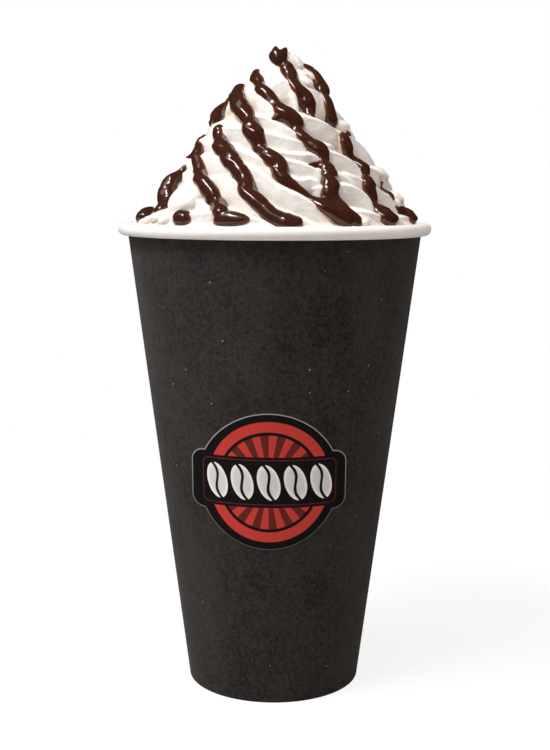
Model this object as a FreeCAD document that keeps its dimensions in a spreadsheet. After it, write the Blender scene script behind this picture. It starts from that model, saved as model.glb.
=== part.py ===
import FreeCAD, Part
import math
import os

import Sketcher
from FreeCAD import Vector

# Caffe mocha in a double-walled paper cup: a white paper cup with a rolled rim, a black
# paper wrap glued round it, a base disc crimped into its skirt, the drink, a twisted mound
# of whipped cream and a die-cut label on the front of the wrap.
#
# Frame: millimetres, +Z up, the origin on the floor at the cup's axis, the label facing -Y.

SHEET = "Sizes"

# Driving dimensions: cell alias, value, meaning. Lengths are millimetres, angles degrees.
SIZES = [
    ("cup_height", 135.5, "floor to the top of the rolled rim"),
    ("rim_radius", 45.0, "outer radius of the rolled rim"),
    ("bead_radius", 1.75, "outer radius of the roll's own section"),
    ("bead_end_angle", 60.0, "how far the roll stops short of closing, below the outward side"),
    ("foot_radius", 25.35, "outer radius of the wrap at the floor"),
    ("cup_paper", 0.45, "thickness of the white cup's paper, measured level"),
    ("wrap_paper", 0.40, "thickness of the black wrap's paper, measured level"),
    ("wrap_tuck", 0.60, "how far the wrap reaches up past the bottom of the roll"),
    ("seam_angle", 13.0, "angle that the wrap's glued overlap covers at the back"),
    ("seam_step", 0.30, "how far the glued overlap stands proud"),
    ("skirt_height", 7.0, "height of the turned-in skirt that grips the base disc"),
    ("recess_height", 8.0, "height of the base disc's underside above the floor"),
    ("drink_level", 122.0, "height of the drink's surface, under the cream"),
    ("cream_gap", 0.05, "clearance between the cream and the cup's wall"),
    ("cream_shoulder", 134.4, "height where the cream leaves the wall and starts to taper"),
    ("cream_base_radius", 41.0, "radius of the mound over its folds, at the rim"),
    ("cream_height", 185.2, "floor to the top of the mound"),
    ("cream_tip_radius", 5.4, "radius of the mound just under its blunt tip"),
    ("cream_lean", 0.7, "sideways offset of the mound's tip"),
    ("fold_count", 10, "folds that wind round the mound"),
    ("fold_spacing", 7.3, "height from one fold's crest to the next"),
    ("fold_depth", 2.6, "depth of the grooves between the folds, at the rim"),
    ("fold_crest_share", 0.22, "share of a fold's width that lies above its crest"),
    ("fold_wander", 0.22, "how far a crest strays up or down, in fold spacings"),
    ("fold_unevenness", 0.30, "share by which the depth of the grooves varies"),
    ("mound_unevenness", 0.9, "how far the mound bulges or sinks from a plain cone"),
    ("label_film", 0.20, "thickness of the label"),
    ("label_radius", 19.5, "radius of the label's round part"),
    ("label_band_width", 42.5, "width of the label's cross band"),
    ("label_band_height", 17.0, "height of the label's cross band"),
    ("label_band_corner", 3.4, "corner radius of the cross band"),
    ("label_height", 66.4, "height of the label's middle above the floor"),
    ("label_shift", -1.4, "sideways offset of the label's middle"),
]

# Heights and radii that several pieces share, worked out in the sheet from the sizes above.
DERIVED = [
    ("bead_level", "=cup_height - bead_radius", "height of the roll's centre"),
    ("bead_centre", "=rim_radius - bead_radius", "radius of the roll's centre line"),
    ("mouth_radius", "=rim_radius - 2 * bead_radius + cup_paper + wrap_paper",
     "outer radius of the wrap's cone at the roll's centre"),
    ("taper", "=(mouth_radius - foot_radius) / bead_level", "widening of the wall for each mm of height"),
    ("wrap_top", "=cup_height - 2 * bead_radius + wrap_tuck", "height of the wrap's upper edge"),
    ("disc_top", "=recess_height + cup_paper", "height of the base disc's upper face"),
]

CREAM_POLES_PER_FOLD = 12   # control points round the mound for each fold
CREAM_ROW_STEP = 1.15       # height between rows of control points on the mound
CREAM_PLUG_ROWS = 4         # rows of control points on the plain part inside the cup
CREAM_TIP_ROWS = 4          # rows that round the blunt tip over
SPLINE_DEGREE = 3


def make_sheet(doc):
    """Writes the driving dimensions and the derived ones into the document's spreadsheet."""
    sheet = doc.addObject("Spreadsheet::Sheet", SHEET)
    for row, (alias, value, meaning) in enumerate(SIZES + DERIVED, start=1):
        sheet.set(f"A{row}", alias)
        sheet.set(f"B{row}", str(value))
        sheet.set(f"C{row}", meaning)
        sheet.setAlias(f"B{row}", alias)
    doc.recompute()
    return sheet


def size(sheet, expression):
    """The value of an expression written in the sheet's aliases."""
    found = sheet.evalExpression(expression)
    return float(getattr(found, "Value", found))


def bound(expression):
    """The same expression as an object outside the sheet has to write it."""
    names = sorted((alias for alias, _, _ in SIZES + DERIVED), key=len, reverse=True)
    out, place = "", 0
    while place < len(expression):
        match = next((n for n in names if expression.startswith(n, place)), None)
        if match:
            out += f"{SHEET}.{match}"
            place += len(match)
        else:
            out += expression[place]
            place += 1
    return out


def bind(thing, **expressions):
    """Binds properties of an object to expressions in the sheet's aliases."""
    for name, expression in expressions.items():
        thing.setExpression(name.replace("__", "."), bound(expression))


def wall(height, inward="0"):
    """Radius of the wrap's outer cone at a height, less a distance inward."""
    return f"foot_radius + taper * ({height}) - ({inward})"


def plane_of(body, role):
    return next(f for f in body.Origin.OriginFeatures if f.Role == role)


def new_sketch(body, role, name):
    sketch = body.newObject("Sketcher::SketchObject", name)
    sketch.AttachmentSupport = (plane_of(body, role), [""])
    sketch.MapMode = "FlatFace"
    return sketch


def pin_point(sketch, geometry, end, across, up):
    """Holds one end of a sketch element at (across, up), both expressions in the sheet's aliases."""
    for kind, axis, expression in (("DistanceX", -2, across), ("DistanceY", -1, up)):
        value = size(sketch.Document.getObject(SHEET), expression)
        if abs(value) < 1e-9:
            sketch.addConstraint(Sketcher.Constraint("PointOnObject", geometry, end, axis))
        else:
            index = sketch.addConstraint(Sketcher.Constraint(kind, -1, 1, geometry, end, value))
            sketch.setExpression(f"Constraints[{index}]", bound(expression))


def draw_chain(sketch, corners, closed=True):
    """Lines through corners given as (across, up) expressions, joined end to end."""
    sheet = sketch.Document.getObject(SHEET)
    points = [Vector(size(sheet, a), size(sheet, u), 0) for a, u in corners]
    count = len(corners) if closed else len(corners) - 1
    lines = []
    for i in range(count):
        lines.append(sketch.addGeometry(Part.LineSegment(points[i], points[(i + 1) % len(points)])))
        pin_point(sketch, lines[-1], 1, *corners[i])
    for i in range(count if closed else count - 1):
        sketch.addConstraint(Sketcher.Constraint("Coincident", lines[i], 2, lines[(i + 1) % count], 1))
    if not closed:
        pin_point(sketch, lines[-1], 2, *corners[-1])
    return lines


def revolve(body, sketch, name, angle="360", midplane=False):
    turned = body.newObject("PartDesign::Revolution", name)
    turned.Profile = sketch
    turned.ReferenceAxis = (sketch, ["V_Axis"])
    turned.Midplane = midplane
    bind(turned, Angle=angle)
    return turned


def new_body(doc, name):
    body = doc.addObject("PartDesign::Body", name)
    body.Label = name
    return body


def make_inner_cup(doc):
    """The white cup: a tapered wall with a skirt folded in below and a hollow roll above."""
    sheet = doc.getObject(SHEET)
    body = new_body(doc, "inner_cup")
    sketch = new_sketch(body, "XZ_Plane", "CupSection")
    outside, inside = "wrap_paper", "wrap_paper + cup_paper"
    leg_out, leg_in = "wrap_paper + 2 * cup_paper", "wrap_paper + 3 * cup_paper"
    end_across = "bead_centre - {r} * cos(bead_end_angle * 1 deg)"
    end_up = "bead_level - {r} * sin(bead_end_angle * 1 deg)"
    wall_top = "bead_level"
    inner_r, outer_r = "(bead_radius - cup_paper)", "bead_radius"
    corners = [
        (wall(wall_top, inside), wall_top),
        (wall("cup_paper", inside), "cup_paper"),
        (wall("cup_paper", leg_out), "cup_paper"),
        (wall("skirt_height", leg_out), "skirt_height"),
        (wall("skirt_height", leg_in), "skirt_height"),
        (wall("0", leg_in), "0"),
        (wall("0", outside), "0"),
        (wall(wall_top, outside), wall_top),
    ]
    lines = draw_chain(sketch, corners, closed=False)
    centre = Vector(size(sheet, "bead_centre"), size(sheet, "bead_level"), 0)
    stop = math.radians(180 + size(sheet, "bead_end_angle"))
    arcs = []
    for radius in (inner_r, outer_r):
        circle = Part.Circle(centre, Vector(0, 0, 1), size(sheet, radius))
        arc = sketch.addGeometry(Part.ArcOfCircle(circle, stop - 2 * math.pi, math.pi))
        pin_point(sketch, arc, 3, "bead_centre", "bead_level")
        arcs.append(arc)
    end_points = [Vector(size(sheet, end_across.format(r=r)), size(sheet, end_up.format(r=r)), 0)
                  for r in (inner_r, outer_r)]
    lip = sketch.addGeometry(Part.LineSegment(*end_points))
    sketch.addConstraint(Sketcher.Constraint("Coincident", lines[-1], 2, arcs[0], 2))
    sketch.addConstraint(Sketcher.Constraint("Coincident", lines[0], 1, arcs[1], 2))
    sketch.addConstraint(Sketcher.Constraint("Coincident", lip, 1, arcs[0], 1))
    sketch.addConstraint(Sketcher.Constraint("Coincident", lip, 2, arcs[1], 1))
    for end, radius in ((1, inner_r), (2, outer_r)):
        index = sketch.addConstraint(
            Sketcher.Constraint("DistanceX", -1, 1, lip, end, size(sheet, end_across.format(r=radius))))
        sketch.setExpression(f"Constraints[{index}]", bound(end_across.format(r=radius)))
    revolve(body, sketch, "CupWall")
    return body


def make_outer_wrap(doc):
    """The black wrap: a tapered sleeve glued round the cup, its overlap seam at the back."""
    body = new_body(doc, "outer_wrap")
    sketch = new_sketch(body, "YZ_Plane", "WrapSection")
    draw_chain(sketch, [
        (wall("0", "wrap_paper"), "0"),
        (wall("0"), "0"),
        (wall("wrap_top"), "wrap_top"),
        (wall("wrap_top", "wrap_paper"), "wrap_top"),
    ])
    revolve(body, sketch, "WrapSleeve")
    half = "wrap_paper / 2"
    seam = new_sketch(body, "YZ_Plane", "SeamSection")
    draw_chain(seam, [
        (wall("0", half), "0"),
        (wall("0", "-seam_step"), "0"),
        (wall("wrap_top - 2 * wrap_tuck", "-seam_step"), "wrap_top - 2 * wrap_tuck"),
        (wall("wrap_top - 2 * wrap_tuck", half), "wrap_top - 2 * wrap_tuck"),
    ])
    revolve(body, seam, "WrapSeam", angle="seam_angle", midplane=True)
    return body


def make_base_disc(doc):
    """The base: a disc whose flange is gripped between the cup's wall and its skirt."""
    body = new_body(doc, "base_disc")
    sketch = new_sketch(body, "XZ_Plane", "BaseSection")
    flange_out, flange_in = "wrap_paper + cup_paper", "wrap_paper + 2 * cup_paper"
    draw_chain(sketch, [
        ("0", "recess_height"),
        (wall("recess_height", flange_in), "recess_height"),
        (wall("cup_paper", flange_in), "cup_paper"),
        (wall("cup_paper", flange_out), "cup_paper"),
        (wall("disc_top", flange_out), "disc_top"),
        ("0", "disc_top"),
    ])
    revolve(body, sketch, "BaseDisc")
    return body


def make_mocha(doc):
    """The drink, from the base disc up to its surface under the cream."""
    drink = doc.addObject("Part::Cone", "mocha")
    drink.Label = "mocha"
    bind(drink,
         Radius1=wall("disc_top", "wrap_paper + cup_paper"),
         Radius2=wall("drink_level", "wrap_paper + cup_paper"),
         Height="drink_level - disc_top",
         Placement__Base__z="disc_top")
    return drink


def label_cone(doc, name, inward):
    """A solid cone that follows the wrap's outside, less a distance inward."""
    cone = doc.addObject("Part::Cone", name)
    bind(cone, Radius1=wall("0", inward), Radius2=wall("wrap_top", inward), Height="wrap_top")
    return cone


def make_label(doc):
    """The die-cut label: a round badge with a cross band, bent round the front of the wrap."""
    shell = doc.addObject("Part::Cut", "LabelShell")
    shell.Base = label_cone(doc, "LabelOutside", "-label_film")
    shell.Tool = label_cone(doc, "LabelInside", "0")
    badge = doc.addObject("Part::Cylinder", "LabelRound")
    badge.Placement.Rotation = FreeCAD.Rotation(Vector(1, 0, 0), 90)
    bind(badge, Radius="label_radius", Height="rim_radius",
         Placement__Base__x="label_shift", Placement__Base__z="label_height")
    band = doc.addObject("Part::Box", "LabelBand")
    bind(band, Length="label_band_width", Width="rim_radius", Height="label_band_height",
         Placement__Base__x="label_shift - label_band_width / 2", Placement__Base__y="-rim_radius",
         Placement__Base__z="label_height - label_band_height / 2")
    doc.recompute()
    rounded = doc.addObject("Part::Fillet", "LabelBandRounded")
    rounded.Base = band
    corner = size(doc.getObject(SHEET), "label_band_corner")
    rounded.Edges = [(i, corner, corner) for i, edge in enumerate(band.Shape.Edges, start=1)
                     if abs(edge.tangentAt(edge.FirstParameter).y) > 0.9]
    outline = doc.addObject("Part::Fuse", "LabelOutline")
    outline.Base, outline.Tool = badge, rounded
    label = doc.addObject("Part::Common", "label")
    label.Base, label.Tool = shell, outline
    label.Label = "label"
    return label


def fold_dip(phase, crest_share):
    """0 on a fold's crest and 1 at the bottom of its groove, for a phase counted in folds, downward."""
    share = phase - math.floor(phase)
    if share < 1 - crest_share:
        return (1 - math.cos(math.pi * share / (1 - crest_share))) / 2
    return (1 + math.cos(math.pi * (share - 1 + crest_share) / crest_share)) / 2


def uneven(turn, share, seed):
    """A slow, smooth variation between -1 and 1 over the mound, for a turn and a share of its height."""
    twist = 2 * math.pi * turn
    return (math.sin(2 * twist + 3.1 * share + seed)
            + math.sin(3 * twist - 5.3 * share + 2.3 * seed)
            + math.sin(twist + 8.7 * share + 4.1 * seed)) / 3


def cream_rows(sheet):
    """Rows of the mound from the drink up: (height, radius over the folds, depth of the folds)."""
    level, shoulder = size(sheet, "drink_level"), size(sheet, "cream_shoulder")
    top, tip = size(sheet, "cream_height"), size(sheet, "cream_tip_radius")
    base, depth = size(sheet, "cream_base_radius"), size(sheet, "fold_depth")
    rows = []
    for i in range(CREAM_PLUG_ROWS):
        z = level + (shoulder - level) * i / (CREAM_PLUG_ROWS - 1)
        rows.append((z, min(size(sheet, wall(str(z), "wrap_paper + cup_paper + cream_gap")), base + 0.3), 0.0))
    cone_top = top - tip
    count = int(round((cone_top - shoulder) / CREAM_ROW_STEP))
    for i in range(1, count + 1):
        share = i / count
        fade_in = min(1.0, 4 * share)
        rows.append((shoulder + (cone_top - shoulder) * share, base + (tip - base) * share,
                     depth * fade_in * (1 - 0.65 * share)))
    for i in range(1, CREAM_TIP_ROWS + 1):
        bend = math.pi / 2 * i / (CREAM_TIP_ROWS + 0.35)
        rows.append((cone_top + tip * math.sin(bend), tip * math.cos(bend),
                     0.35 * depth * math.cos(bend)))
    return rows


def make_whipped_cream(doc):
    """The cream: a plug in the cup's mouth under a tall mound, with folds that wind round it."""
    sheet = doc.getObject(SHEET)
    folds = int(size(sheet, "fold_count"))
    spacing, crest_share = size(sheet, "fold_spacing"), size(sheet, "fold_crest_share")
    shoulder, top = size(sheet, "cream_shoulder"), size(sheet, "cream_height")
    wander, vary = size(sheet, "fold_wander"), size(sheet, "fold_unevenness")
    bulge = size(sheet, "mound_unevenness")
    around = folds * CREAM_POLES_PER_FOLD
    grid = []
    rows = cream_rows(sheet)
    for z, radius, depth in rows:
        rise = max(0.0, (z - shoulder) / (top - shoulder))
        lean = size(sheet, "cream_lean") * rise
        swell = bulge * 4 * rise * (1 - rise)
        ring = []
        for i in range(around):
            turn = i / around
            phase = -folds * turn - (z - shoulder) / spacing + wander * uneven(turn, rise, 0.4)
            dip = depth * fold_dip(phase, crest_share) * (1 + vary * uneven(turn, rise, 1.9))
            reach = radius - dip + swell * uneven(turn, rise, 5.2)
            angle = 2 * math.pi * turn
            ring.append(Vector(reach * math.cos(angle) + lean, reach * math.sin(angle), z))
        grid.append(ring)
    poles = [[grid[j][i] for j in range(len(rows))] for i in range(around)]
    inner_knots = len(rows) - SPLINE_DEGREE - 1
    skin = Part.BSplineSurface()
    skin.buildFromPolesMultsKnots(
        poles,
        [1] * (around + 1),
        [SPLINE_DEGREE + 1] + [1] * inner_knots + [SPLINE_DEGREE + 1],
        [float(i) for i in range(around + 1)],
        [float(i) for i in range(inner_knots + 2)],
        True, False, SPLINE_DEGREE, SPLINE_DEGREE)
    side = skin.toShape()
    rings = [edge for edge in side.Edges if edge.isClosed()]
    flat = [edge for edge in rings if edge.BoundBox.ZLength < 1e-4]
    caps = [Part.Face(Part.Wire(edge)) for edge in flat]
    shell = Part.Shell(Part.makeShell([side] + caps).Faces)
    shell.sewShape()
    solid = Part.Solid(Part.Shell(shell.Faces))
    if solid.Volume < 0:
        solid.reverse()
    cream = doc.addObject("Part::Feature", "whipped_cream")
    cream.Label = "whipped_cream"
    cream.Shape = solid
    cream.Placement = FreeCAD.Placement()
    return cream


def check(doc, pieces):
    """Stops the macro if an object failed or a piece is not a sound solid."""
    for thing in doc.Objects:
        if {"Invalid", "Error"} & set(thing.State):
            raise RuntimeError(f"{thing.Name} failed: {thing.State}")
    for piece in pieces:
        shape = piece.Shape
        if shape.isNull() or not shape.isValid() or shape.Volume <= 0 or len(shape.Solids) != 1:
            raise RuntimeError(f"{piece.Label} is not one sound solid")
        print(f"{piece.Label}: {shape.Volume / 1000:.3f} cm3, {len(shape.Faces)} faces")


def main():
    doc = FreeCAD.newDocument("CaffeMocha")
    make_sheet(doc)
    pieces = [
        make_inner_cup(doc),
        make_outer_wrap(doc),
        make_base_disc(doc),
        make_mocha(doc),
        make_whipped_cream(doc),
        make_label(doc),
    ]
    doc.recompute()
    check(doc, pieces)
    os.makedirs("parts", exist_ok=True)
    for piece in pieces:
        piece.Shape.exportStep(os.path.join("parts", piece.Label + ".step"))


main()
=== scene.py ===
# %% [markdown]
# # A caffe mocha in a tall paper cup
# This lesson dresses the plain solids of a drink to go. The cup is white paper with a rolled rim,
# inside a black paper wrap that carries a printed sticker. A tall twisted mound of whipped cream
# fills its mouth, with chocolate sauce run over it from the tip down to the rim.
#
# The solids that give every size are already made, so the first step loads them as a fixed frame.
# Everything modelled after this is placed on that frame.

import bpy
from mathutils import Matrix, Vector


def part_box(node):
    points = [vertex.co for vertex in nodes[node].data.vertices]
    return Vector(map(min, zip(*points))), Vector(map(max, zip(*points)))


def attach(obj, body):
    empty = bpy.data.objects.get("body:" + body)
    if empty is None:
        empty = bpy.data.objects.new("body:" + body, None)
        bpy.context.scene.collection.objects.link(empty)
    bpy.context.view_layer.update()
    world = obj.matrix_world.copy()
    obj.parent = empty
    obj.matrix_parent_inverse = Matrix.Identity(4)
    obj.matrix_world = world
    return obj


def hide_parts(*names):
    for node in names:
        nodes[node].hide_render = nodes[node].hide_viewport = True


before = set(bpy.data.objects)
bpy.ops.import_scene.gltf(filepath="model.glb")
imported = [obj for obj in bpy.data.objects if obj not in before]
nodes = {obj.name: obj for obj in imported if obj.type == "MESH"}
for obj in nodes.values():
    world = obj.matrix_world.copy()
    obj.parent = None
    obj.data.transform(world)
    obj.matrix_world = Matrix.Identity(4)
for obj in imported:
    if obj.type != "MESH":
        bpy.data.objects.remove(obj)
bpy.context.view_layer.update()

# %% [markdown]
# ## Two small tools
# The frame is in metres, but a cup is easier to think about in millimetres. So each new piece is
# modelled as a bmesh in millimetres and scaled once, when it becomes an object. Every piece keeps
# its place in its mesh and its object stays at the origin, so finishes that read Object
# coordinates all share one space. A number can be stored for each corner point of a piece, and
# its finish can read that number later.

# %% Tools for the lesson
import math

import bmesh
import bpy
import numpy as np
from mathutils import Matrix, Vector, noise

MM = 0.001                # metres in a millimetre


def node_points(name):
    """The corner points of a solid of the frame, in millimetres."""
    mesh = nodes[name].data
    points = np.empty(len(mesh.vertices) * 3)
    mesh.vertices.foreach_get("co", points)
    return points.reshape(-1, 3) / MM


def finish_piece(name, bm, material, smooth=True):
    """Turns a bmesh in millimetres into an object in metres, with its place in its mesh."""
    bmesh.ops.scale(bm, vec=(MM, MM, MM), verts=bm.verts)
    mesh = bpy.data.meshes.new(name)
    bm.to_mesh(mesh)
    bm.free()
    mesh.polygons.foreach_set("use_smooth", [smooth] * len(mesh.polygons))
    piece = bpy.data.objects.new(name, mesh)
    bpy.context.collection.objects.link(piece)
    mesh.materials.append(material)
    print(f"{name}: {len(mesh.polygons)} faces")
    return piece


def keep_value(piece, name, values):
    """Stores a number for every corner point of a piece, for its finish to read."""
    store = piece.data.attributes.new(name, "FLOAT", "POINT")
    store.data.foreach_set("value", values.astype(np.float32))

# %% [markdown]
# ## Measuring the frame
# A paper cup is given by a few sizes: its rim, its foot and the taper between them. They are read
# back from the solids, because a size typed twice is soon two sizes. The cream ends a little below
# the top of its solid, and the sauce on its tip fills the rest.

# %% Measure the cup and the mound
SAUCE_ON_TIP = 1.25

cup = node_points("inner_cup")
wrap = node_points("outer_wrap")
cream_low, cream_high = (np.array(corner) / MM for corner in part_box("whipped_cream"))
cup_height = cup[:, 2].max()
rim_radius = cup[:, 0].max()
foot_radius = wrap[wrap[:, 2] < 0.1, 0].max()
wrap_top = wrap[:, 2].max()
wrap_top_radius = wrap[wrap[:, 2] > wrap_top - 0.1, 0].max()
wall_taper = (wrap_top_radius - foot_radius) / wrap_top
mound_top = cream_high[2] - SAUCE_ON_TIP
drink_level = cream_low[2]
print(f"cup {cup_height:.1f} mm tall, rim radius {rim_radius:.1f}, foot radius {foot_radius:.2f},"
      f" mound top {mound_top:.1f}, wall taper {wall_taper:.4f}")

# %% [markdown]
# ## Node materials
# Every finish here is a small network of nodes that reads the place on the piece, so no image
# is needed and the pattern runs on round the cup without a join. Written out in full, each
# network would be a page of nodes and links. This little class keeps it short: it makes a node,
# sets its values and joins it to what feeds it.

# %% A short way to write node networks
class Finish:
    """A material whose nodes are added one after another."""

    def __init__(self, name):
        self.material = bpy.data.materials.new(name)
        self.material.use_nodes = True
        self.tree = self.material.node_tree
        self.tree.nodes.clear()
        self.output = self.tree.nodes.new("ShaderNodeOutputMaterial")

    def add(self, kind, settings=None, **sockets):
        """Adds a node. Sockets are named with _ for a space, and take a value or another socket."""
        node = self.tree.nodes.new("ShaderNode" + kind)
        for name, value in (settings or {}).items():
            setattr(node, name, value)
        for name, value in sockets.items():
            key = int(name[3:]) if name.startswith("in_") else name.replace("_", " ")
            if isinstance(value, bpy.types.NodeSocket):
                self.tree.links.new(value, node.inputs[key])
            else:
                node.inputs[key].default_value = value
        return node

    def place(self):
        """Where a point lies on the piece, in metres."""
        return self.add("TexCoord").outputs["Object"]

    def math(self, operation, a, b=0.0, clamp=False):
        settings = {"operation": operation, "use_clamp": clamp}
        return self.add("Math", settings, in_0=a, in_1=b).outputs[0]

    def stretched(self, vector, scale):
        """The same places with each axis scaled, for patterns that run along the piece."""
        return self.add("Mapping", Vector=vector, Scale=scale).outputs[0]

    def grain(self, vector, scale, detail=2.0, roughness=0.5):
        """Soft noise between 0 and 1."""
        noise_node = self.add("TexNoise", Vector=vector, Scale=scale, Detail=detail,
                              Roughness=roughness)
        return noise_node.outputs["Fac"]

    def ramp(self, value, stops):
        """A colour or grey for a value, through (position, colour) stops."""
        node = self.add("ValToRGB", Fac=value)
        elements = node.color_ramp.elements
        for i, (position, colour) in enumerate(stops):
            element = elements[i] if i < 2 else elements.new(position)
            element.position = position
            rgb = colour if hasattr(colour, "__len__") else (colour,) * 3
            element.color = (*rgb, 1.0)
        return node.outputs["Color"]

    def blend(self, factor, a, b):
        node = self.add("Mix", {"data_type": "RGBA"}, Factor=factor)
        for socket, value in ((node.inputs[6], a), (node.inputs[7], b)):
            if isinstance(value, bpy.types.NodeSocket):
                self.tree.links.new(value, socket)
            else:
                socket.default_value = (*value, 1.0)
        return node.outputs[2]

    def multiplied(self, a, b):
        settings = {"data_type": "RGBA", "blend_type": "MULTIPLY"}
        return self.add("Mix", settings, in_0=1.0, in_6=a, in_7=b).outputs[2]

    def bump(self, height, distance, strength=1.0, under=None):
        node = self.add("Bump", Height=height, Distance=distance, Strength=strength)
        if under:
            self.tree.links.new(under, node.inputs["Normal"])
        return node.outputs[0]

    def surface(self, **sockets):
        shader = self.add("BsdfPrincipled", **sockets)
        self.tree.links.new(shader.outputs[0], self.output.inputs["Surface"])
        return self.material

# %% [markdown]
# ## The camera
# The cup is seen a little from above, from about four rim diameters away, as on a menu. From
# farther off with a longer lens the mouth would look flatter, and from closer by the cup would
# look like a tower.

# %% Camera
CAMERA_PLACE = (0.22 * MM, -355.4 * MM, 145.05 * MM)
CAMERA_PITCH = math.radians(90 - 8.68)
CAMERA_ROLL = 0.003
LENS = 58.52

camera_data = bpy.data.cameras.new("camera")
camera = bpy.data.objects.new("camera", camera_data)
bpy.context.collection.objects.link(camera)
camera.location = CAMERA_PLACE
turn = Matrix.Rotation(CAMERA_PITCH, 4, "X") @ Matrix.Rotation(CAMERA_ROLL, 4, "Z")
camera.rotation_euler = turn.to_euler()
camera_data.sensor_width = 36.0
camera_data.sensor_fit = "AUTO"
camera_data.lens = LENS
camera_data.clip_start = 0.01
bpy.context.scene.camera = camera
print(f"camera {camera.location.length / MM:.0f} mm from the cup's foot, lens {LENS} mm")

# %% [markdown]
# ## The lamps
# Cream is nearly white, so its folds only show if one fairly small lamp stands to one side and
# well above it: the key lamp, in front on the left. Sauce is a dark mirror, and what shows in it
# is the shape of the lamps. So the key lamp is a slim rectangle, turned to lie along the way the
# sauce runs, which draws long white highlights. A larger weak lamp round it adds the soft brown
# streaks beside them.
#
# Three broad lamps open the shadows from the left, the top and the right. They would lay a grey
# veil over the sauce and the black paper, so they are hidden from reflections, much as a
# polarising filter hides them from a camera.

# %% Lamps
AIM = Vector((0.0, 0.0, 0.12))    # near the cup's mouth
ALONG_SAUCE = -24                 # roll in degrees that lays a lamp along the sauce's slant


def add_lamp(name, azimuth, elevation, distance, width, height, watts,
             colour=(1.0, 1.0, 1.0), roll=0):
    """A soft flat lamp that looks at the cup from an azimuth and elevation in degrees."""
    lamp = bpy.data.lights.new(name, "AREA")
    lamp.shape = "RECTANGLE"
    lamp.size = width
    lamp.size_y = height
    lamp.energy = watts
    lamp.color = colour
    holder = bpy.data.objects.new(name, lamp)
    bpy.context.collection.objects.link(holder)
    a, e = math.radians(azimuth), math.radians(elevation)
    toward = Vector((math.cos(a) * math.cos(e), math.sin(a) * math.cos(e), math.sin(e)))
    holder.location = AIM + toward * distance
    facing = toward.to_track_quat("Z", "Y").to_matrix()
    turn = facing @ Matrix.Rotation(math.radians(roll), 3, "Z")
    holder.rotation_euler = turn.to_euler()
    return holder


add_lamp("key_lamp", azimuth=216, elevation=55, distance=1.2, width=0.55, height=0.26,
         watts=9.6, roll=ALONG_SAUCE)
add_lamp("streak_lamp", azimuth=214, elevation=52, distance=1.3, width=1.5, height=0.55,
         watts=5.0, colour=(1.0, 0.92, 0.84), roll=ALONG_SAUCE)
fill_lamps = [
    add_lamp("left_lamp", azimuth=192, elevation=22, distance=1.7, width=1.4, height=1.4,
             watts=9.6),
    add_lamp("top_lamp", azimuth=260, elevation=78, distance=1.5, width=2.2, height=2.2,
             watts=9.5, colour=(1.0, 0.95, 0.90)),
    add_lamp("right_lamp", azimuth=348, elevation=50, distance=1.6, width=2.2, height=2.2,
             watts=17.5, colour=(1.0, 0.92, 0.855)),
]
for lamp in fill_lamps:
    lamp.visible_glossy = False
print("fill lamps:", [lamp.name for lamp in fill_lamps])

# %% [markdown]
# ### The world
# The world is plain white behind the cup. It gives the cup itself almost no light, because light
# from everywhere would wash the folds out.

# %% World
WORLD_GLOW = 0.02         # strength for everything but the camera

world = bpy.data.worlds.new("studio")
bpy.context.scene.world = world
world.use_nodes = True
world.node_tree.nodes.clear()
world_out = world.node_tree.nodes.new("ShaderNodeOutputWorld")
background = world.node_tree.nodes.new("ShaderNodeBackground")
light_path = world.node_tree.nodes.new("ShaderNodeLightPath")
seen = world.node_tree.nodes.new("ShaderNodeMapRange")
background.inputs["Color"].default_value = (1.0, 1.0, 1.0, 1.0)
seen.inputs["To Min"].default_value = WORLD_GLOW
seen.inputs["To Max"].default_value = 1.0
world.node_tree.links.new(light_path.outputs["Is Camera Ray"], seen.inputs["Value"])
world.node_tree.links.new(seen.outputs[0], background.inputs["Strength"])
world.node_tree.links.new(background.outputs[0], world_out.inputs["Surface"])

bpy.context.scene.view_settings.view_transform = "Standard"

# %% [markdown]
# ## The floor
# The cup stands on a plain white sweep. The camera sees it glow white, and only close to the foot
# is it a real surface that takes the cup's shadow. For the light that it throws back up at the
# cup it is a mid grey, because a white floor would fill the shade under the rim. Like the fill
# lamps it is hidden from reflections.

# %% Floor
FLOOR_REACH = 4000        # half its width, mm
SHADOW_NEAR, SHADOW_FAR = 0.09, 0.30   # metres from the foot over which the shadow fades out


def floor_finish():
    """White to the eye, with the cup's shadow left on it."""
    f = Finish("studio_floor")
    path = f.add("LightPath")
    away = f.add("VectorMath", {"operation": "LENGTH"}, in_0=f.place()).outputs["Value"]
    far = f.add("MapRange", {"interpolation_type": "SMOOTHSTEP"}, Value=away).outputs[0]
    far.node.inputs["From Min"].default_value = SHADOW_NEAR
    far.node.inputs["From Max"].default_value = SHADOW_FAR
    shaded = f.add("BsdfDiffuse", Color=(0.22, 0.22, 0.22, 1.0))
    glow = f.add("Emission", Color=(1.0, 1.0, 1.0, 1.0), Strength=0.80)
    near_floor = f.add("AddShader", in_0=shaded.outputs[0], in_1=glow.outputs[0])
    white = f.add("Emission", Color=(1.0, 1.0, 1.0, 1.0), Strength=1.0)
    seen_floor = f.add("MixShader", in_0=far, in_1=near_floor.outputs[0], in_2=white.outputs[0])
    plain = f.add("BsdfDiffuse", Color=(0.54, 0.525, 0.51, 1.0))
    mix = f.add("MixShader", in_0=path.outputs["Is Camera Ray"], in_1=plain.outputs[0],
                in_2=seen_floor.outputs[0])
    f.tree.links.new(mix.outputs[0], f.output.inputs["Surface"])
    return f.material


floor_bm = bmesh.new()
bmesh.ops.create_grid(floor_bm, x_segments=1, y_segments=1, size=FLOOR_REACH)
floor = finish_piece("floor", floor_bm, floor_finish(), smooth=False)
floor.visible_glossy = False

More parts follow.
